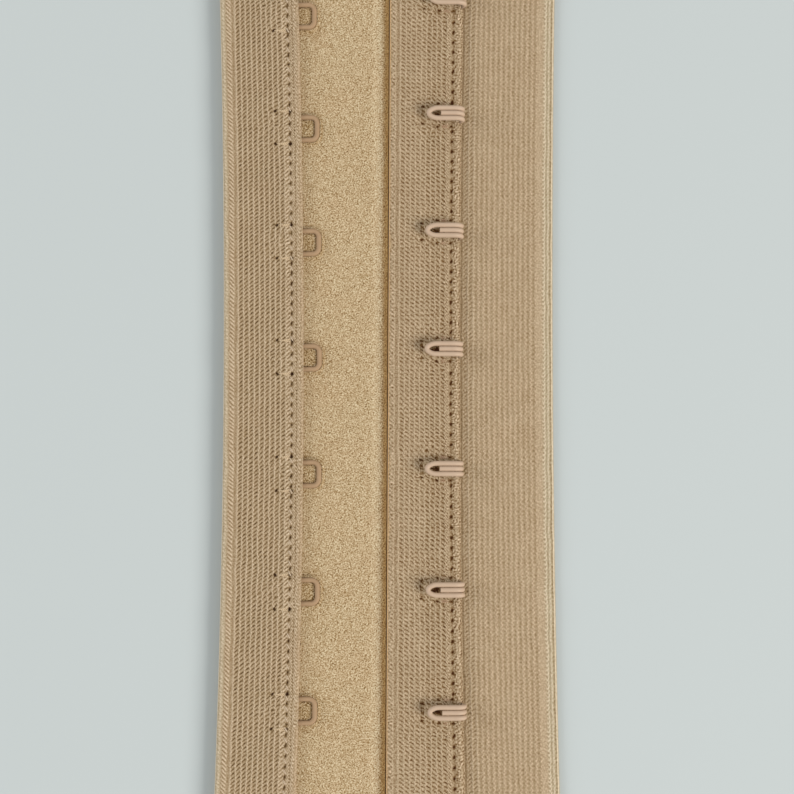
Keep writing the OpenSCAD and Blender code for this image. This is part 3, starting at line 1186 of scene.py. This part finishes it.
@dataclass
class HookTape(Tape):
    """Tape with the hooks: a wide knit flap and a folded knit cover over the bases of the hooks."""

    curve: float = 3000 * MM
    width: float = 26.45 * MM
    cover_width: float = 11.55 * MM
    seam_inset: float = 1.55 * MM
    flap_top: float = 0.95 * MM
    floor_top: float = 1.0 * MM
    cover_top: float = 2.34 * MM
    half_band: float = 1.27 * MM
    foot_inset: float = 2.75 * MM
    foot_reach: float = 3.3 * MM
    base_length: float = 6.6 * MM
    bend_inset: float = 1.115 * MM
    bend_z: float = 2.615 * MM
    throat_radius: float = 0.73 * MM
    bend_reach: float = 0.45 * MM
    half_width: float = 1.22 * MM
    seam_start: float = 0.5 * MM
    seam_pitch: float = 1.63 * MM
    tacks: tuple = ((6.25 * MM, 1.38 * MM), (3.85 * MM, 1.83 * MM), (1.7 * MM, 1.85 * MM))

    def __post_init__(self) -> None:
        """Reads the tape's place and the hooks' places from the frame."""
        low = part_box("hook_tape_flap")[0]
        open_width = self.width - self.cover_width
        self.side = TapeSide(low.x + self.width, -1, self.width, open_width, self.curve, self.waist, 0.0045)
        self.wires = []
        for index in range(1, 8):
            low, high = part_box(f"hook_{index}")
            self.wires.append((high.x - self.bend_reach, low.y + self.half_width))

    def flap_weave(self) -> list:
        """Features of the flap's knit, from its outer edge inwards."""
        course = 0.678 * MM
        return [
            Line(0.1 * MM, 0.2 * MM, 0.0, 0.3, course),
            Line(0.44 * MM, 0.13 * MM, -0.03 * MM, -0.26, course, broken=0.8),
            Line(0.83 * MM, 0.15 * MM, 0.05 * MM, 0.32, course, broken=0.55, lean=0.4, wander=0.03 * MM),
            Line(1.13 * MM, 0.1 * MM, -0.03 * MM, -0.08, 0.694 * MM, broken=0.95, lean=0.2, wander=0.06 * MM),
            Line(1.38 * MM, 0.13 * MM, 0.03 * MM, 0.26, 0.694 * MM, broken=0.4),
            Chain(1.52 * MM, 0.24 * MM, 0.02 * MM, 0.16, 0.694 * MM, lean=0.25, bow=0.5, level=0.06),
            Line(2.3 * MM, 0.5 * MM, 0.0, 0.04, course, broken=0.3, lean=2.0),
            Wales(
                3.14 * MM, 12, 0.838 * MM, course, tilt=0.7, swing=0.22, depth=0.02 * MM, dark=0.15, crest=0.03 * MM,
                light=0.44, crest_width=0.055, pit_length=0.16 * MM, pit_width=0.11 * MM, uneven=0.7, yarn=0.0,
                level=0.066,
            ),
            Wales(
                13.2 * MM, 2, 0.85 * MM, course, Slant.FALLING, depth=0.03 * MM, dark=0.18, light=0.2, yarn=0.06,
                level=0.02,
            ),
            Line(14.0 * MM, 0.2 * MM, 0.0, 0.07, course),
            # Painted shadow of the cover's fold along the flap
            Line(14.74 * MM, 0.2 * MM, 0.0, -0.16, course),
        ]

    def build_base(self) -> bpy.types.Object:
        """Models the wide flap: fine zigzag ribs, a flat band and a corded outer edge."""
        open_width = self.width - self.cover_width
        seen = open_width + 0.9 * MM
        crown = thin(spread(0.35 * MM, seen, 0.168 * MM), spread(seen, self.width - 0.5 * MM, 2.5 * MM))
        belly = spread(0.6 * MM, self.width - 0.6 * MM, 8 * MM)
        section = Section.slab(0.0, self.width, 0.0, self.flap_top, crown, belly)
        strip = ClothStrip("hook_flap_knit", self.side, section, self.length, BASE_STEP)
        strip.press(self.flap_weave())
        # Painted shadow on the flap beside each hook's bend
        painted_bend_shadows = [Dimple(open_width - 0.75 * MM, y, 1.0 * MM, 0.45 * MM, 0.0, 0.0, 0.14) for _, y in self.wires]
        strip.add_relief(
            [
                Speckle(2.0 * MM, 13.2 * MM, 4.5 * MM, 0.0, 0.005, 0.0, seed=14, soft=1 * MM),
                # Painted shade on the flap beside the cover's fold
                Speckle(13.4 * MM, 15.0 * MM, 0.5 * MM, 0.02 * MM, 0.05, -0.04, seed=16, soft=0.8 * MM),
                Speckle(0.0, 15.5 * MM, 9 * MM, 0.02 * MM, 0.005, seed=15),
                Dimples(tuple(painted_bend_shadows)),
            ]
        )
        piece = dress_knit(strip, FLAP_KNIT, self.flap_weave(), Rim(-1 * MM, 1.7 * MM, "#f7feff"))
        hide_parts("hook_tape_flap")
        return piece

    def needle_holes(self) -> tuple[Dimple, ...]:
        """Holes of the seam beside the fold and of the tacks round each hook, and painted shadow behind and under each
        hook's nose.
        """
        holes = []
        seam = self.cover_width - self.seam_inset
        for y in self.seam_places(between=False):
            if all(abs(y - hook_y) > 2.2 * MM for _, hook_y in self.wires):
                holes.append(Dimple(seam, float(y), 0.27 * MM, 0.19 * MM, 0.4, 0.16 * MM, 0.7))
        for _, y in self.wires:
            for inset, off in self.tacks:
                for mirrored in (-1, 1):
                    along = y + mirrored * off
                    holes.append(Dimple(self.cover_width - inset, along, 0.18 * MM, 0.29 * MM, 0.0, 0.14 * MM, 0.58))
            # Behind the nose the cloth is darker, partly from dark tack threads and partly from painted shadow of the
            # nose; under the nose itself it gets painted shade
            for inset, dark in ((6.6, 0.12), (6.32, 0.42), (6.05, 0.3)):
                across = self.cover_width - inset * MM
                holes.append(Dimple(across, y + 0.3 * MM, 0.9 * MM, 0.09 * MM, 0.06, 0.05 * MM, dark))
            holes.append(Dimple(self.cover_width - 3.9 * MM, y, 0.5 * MM, 0.7 * MM, 0.0, 0.05 * MM, 0.62))
        return tuple(holes)

    def cover_weave(self) -> list:
        """Features of the cover's knit, from its free edge to its fold."""
        course = 0.674 * MM
        ribs = {"pitch": 0.807 * MM, "course": course, "slant": Slant.FALLING, "tilt": 0.98}
        ribs |= {"crest_width": 0.08, "pit_length": 0.32 * MM, "yarn": 0.09}
        return [
            Line(-1.15 * MM, 0.16 * MM, -0.04 * MM, -0.16, course),
            Chain(0.66 * MM, 0.24 * MM, 0.01 * MM, 0.1, course, lean=0.5, level=-0.02),
            Line(0.96 * MM, 0.08 * MM, 0.02 * MM, 0.22, course, broken=0.6, lean=0.3),
            Line(1.32 * MM, 0.2 * MM, -0.02 * MM, -0.06, course, broken=0.2),
            Line(1.32 * MM, 0.7 * MM, 0.0, -0.09, course),
            Line(1.7 * MM, 0.08 * MM, 0.02 * MM, 0.22, course, broken=0.6, lean=-0.3),
            Wales(2.19 * MM, 5, depth=0.03 * MM, dark=0.2, light=0.19, level=-0.005, **ribs),
            Wales(6.225 * MM, 4, depth=0.05 * MM, dark=0.24, light=0.23, level=-0.03, **ribs),
            Chain(9.2 * MM, 0.32 * MM, 0.02 * MM, 0.14, 0.5 * MM, lean=0.9, level=-0.01),
            Line(10.0 * MM, 0.24 * MM, -0.06 * MM, -0.2, course),
            Line(10.48 * MM, 0.08 * MM, -0.04 * MM, -0.14, 0.55 * MM, broken=0.9),
            Line(11.05 * MM, 0.3 * MM, 0.01 * MM, 0.08, 0.45 * MM, broken=0.7),
            Line(11.45 * MM, 0.22 * MM, 0.0, -0.12, course),
        ]

    def build_cover(self) -> bpy.types.Object:
        """Models the folded knit cover with its ribs, seam, tack holes and the slots of the hooks."""
        radius = (self.cover_top - self.floor_top) / 2
        crown = spread(radius, self.cover_width - radius, COVER_STEP)
        belly = np.array([1.5, 4.7, 4.85, 7.3, 7.4, 10.2, 10.3, 10.9]) * MM
        section = Section.slab(0.0, self.cover_width, self.floor_top, self.cover_top, crown, belly, blunt_start=0.5)
        strip = ClothStrip("hook_cover_knit", self.side, section, self.length, COVER_STEP)
        strip.crush([(self.cover_width - 4 * MM, y) for _, y in self.wires], 0.13 * MM, 4 * MM)
        strip.press(self.cover_weave())
        strip.add_relief(
            [
                # Painted light on the free edge's side, which faces the dark crack between the tapes
                Speckle(-0.85 * MM, 0.25 * MM, 0.5 * MM, 0.0, 0.09, 0.38, seed=17, soft=0.45 * MM),
                Speckle(0.2 * MM, 0.8 * MM, 0.5 * MM, 0.02 * MM, 0.14, 0.02, seed=17),
                Speckle(8.7 * MM, 9.7 * MM, 0.45 * MM, 0.02 * MM, 0.1, -0.04, seed=18),
                Speckle(10.2 * MM, 11.75 * MM, 0.45 * MM, 0.02 * MM, 0.24, -0.07, seed=19),
                Speckle(11.75 * MM, 13.5 * MM, 0.45 * MM, 0.01 * MM, 0.07, -0.04, seed=19),
                Speckle(0.0, 12.0 * MM, 9 * MM, 0.02 * MM, 0.006, seed=20),
                Dimples(self.needle_holes()),
            ]
        )
        self.open_slots(strip)
        strip.inset = self.width - strip.inset
        piece = dress_knit(strip, HOOK_KNIT, self.cover_weave(), Rim(-2 * MM, 0.4 * MM, "#ffedce"))
        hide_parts("hook_tape_cover")
        return piece

    def open_slots(self, strip: ClothStrip) -> None:
        """Shapes the fold to the inside of each hook's bend, and lifts the underside over its base and foot."""
        section, roof, width = strip.section, self.bend_z - self.throat_radius, self.cover_width
        turned = np.where(section.out_across > 0)[0]
        first = math.asin((self.cover_top - self.bend_z) / self.throat_radius)
        turn = np.linspace(first, -math.pi / 2, len(turned))
        base = (section.out_up <= -1) & (section.inset > width - self.base_length - 0.15 * MM)
        chamber = base & (np.abs(section.inset - width + self.foot_inset) < 1.5 * MM)
        for _, y in self.wires:
            off = strip.along[:, 0] - y
            rows = np.where(np.abs(off) < self.half_band)[0]
            for column, angle in zip(turned, turn):
                strip.inset[rows, column] = width - self.bend_inset + self.throat_radius * math.cos(angle)
                strip.height[rows, column] = self.bend_z + self.throat_radius * math.sin(angle)
            strip.height[np.ix_(rows, base)] = roof
            ring = np.where((off > 0.4 * MM) & (off < self.foot_reach))[0]
            strip.height[np.ix_(ring, chamber)] = roof

    def build_threads(self) -> list[bpy.types.Object]:
        """Models the seam thread and the tacks round the hooks.

        Returns:
            The seam's thread and the tacks' thread.
        """
        seam, tacks = ThreadWork("hook_seam_thread"), ThreadWork("hook_tack_thread")
        inset = self.width - self.cover_width + self.seam_inset
        low, top = self.cover_top - 0.22 * MM, self.cover_top - 0.12 * MM
        for y in self.seam_places(between=True):
            if all(abs(y - hook_y) > 1.9 * MM for _, hook_y in self.wires):
                x = float(self.side.x(inset, y))
                start = (x + 0.03 * MM, float(y) + 0.36 * MM, low)
                seam.lay(start, (x - 0.03 * MM, float(y) - 0.36 * MM, low), 0.18 * MM, 0.07 * MM)
        (far, far_off), (middle, middle_off), (near, near_off) = self.tacks
        for x, y in self.wires:
            for mirrored in (-1, 1):
                half = (x - middle, y + mirrored * middle_off, top)
                start = (x - far + 0.5 * MM, y + mirrored * (far_off + 0.08 * MM), top)
                tacks.lay(start, (half[0] - 0.45 * MM, half[1], top), 0.16 * MM, 0.02 * MM)
                for shift in (-0.13, 0.13):
                    start = (x - middle + 0.42 * MM, half[1] + shift * MM, top)
                    tacks.lay(start, (x - near - 0.42 * MM, half[1] + shift * MM, top), 0.24 * MM, 0.05 * MM)
            for shift in (-0.22, 0.14):
                across = x - far + shift * MM
                start = (across, y - far_off + 0.3 * MM, low)
                tacks.lay(start, (across - 0.05 * MM, y + far_off - 0.3 * MM, low), 0.13 * MM, 0.08 * MM)
        return [dress(work.build(), DULL_THREAD.material()) for work in (seam, tacks)]


@dataclass
class Hardware:
    """The wire hooks and eyes, which keep their own shapes and get their coat here."""

    nodes: dict

    def build(self) -> None:
        """Gives each hook and each eye its coat."""
        coats = {"hook": HOOK_WIRE.material(), "eye": EYE_WIRE.material()}
        for name, node in self.nodes.items():
            kind = name.split("_")[0]
            if name[len(kind) + 1 :].isdigit():
                node.data.materials.clear()
                node.data.materials.append(coats[kind])
                LOG.info("%s: coated", name)


@dataclass
class Studio:
    """Camera, soft light and pale floor."""

    aim: tuple[float, float] = (1.566 * MM, -2.41 * MM)
    distance: float = 240 * MM
    tilt: float = math.radians(4.22)
    lens: float = 67.74
    floor_size: float = 12.0
    floor_drop: float = 0.02 * MM
    sky: float = 0.535

    def build_camera(self) -> None:
        """Places the camera almost straight above, a little towards the lower end of the tapes."""
        data = bpy.data.cameras.new("camera")
        data.lens = self.lens
        data.sensor_width = 36.0
        data.clip_start, data.clip_end = 0.01, 20.0
        camera = bpy.data.objects.new("camera", data)
        bpy.context.collection.objects.link(camera)
        back = Vector((0.0, -math.sin(self.tilt), math.cos(self.tilt)))
        camera.location = Vector((*self.aim, 0.0)) + back * self.distance
        camera.rotation_euler = (self.tilt, 0.0, 0.0)
        bpy.context.scene.camera = camera

    def build_floor(self) -> None:
        """Lays the floor below the tapes."""
        deselect_all()
        bpy.ops.mesh.primitive_plane_add(size=self.floor_size, location=(0, 0, -self.floor_drop))
        floor = bpy.context.object
        floor.name = "floor"
        floor.data.materials.append(STAGE_PAPER.material())

    def add_light(self, name: str, place: Point, size: float, power: float, colour: str) -> None:
        """Adds a square soft light that faces the object.

        Args:
            name: Name of the light.
            place: Where it stands.
            size: Side of the square.
            power: Power in watts.
            colour: Colour of the light.
        """
        data = bpy.data.lights.new(name, "AREA")
        data.size = size
        data.energy = power
        data.color = linear(colour)[:3]
        light = bpy.data.objects.new(name, data)
        bpy.context.collection.objects.link(light)
        light.location = place
        light.rotation_euler = (-Vector(place)).to_track_quat("-Z", "Y").to_euler()

    def build_lights(self) -> None:
        """Lights the object softly from the lower right, with a weak fill and an even sky."""
        self.add_light("key", (0.93, -0.42, 0.73), 0.57, 12.1, "#fff9f1")
        self.add_light("fill", (-0.95, 0.2, 0.5), 0.6, 4.95, "#f9f8f6")
        world = bpy.data.worlds.new("studio")
        world.use_nodes = True
        background = world.node_tree.nodes["Background"]
        background.inputs["Color"].default_value = linear("#f7f6f4")
        background.inputs["Strength"].default_value = self.sky
        scene = bpy.context.scene
        scene.world = world
        scene.view_settings.view_transform = "Standard"
        scene.view_settings.look = "None"

    def build(self) -> None:
        """Builds the whole studio."""
        self.build_camera()
        self.build_floor()
        self.build_lights()


def main() -> None:
    """Builds the studio, the two tapes and the wires."""
    logging.basicConfig(level=logging.INFO, format="%(message)s")
    Studio().build()
    EyeTape().build()
    HookTape().build()
    Hardware(frame["nodes"]).build()
    LOG.info("sizes written")


if __name__ == "__main__":
    main()
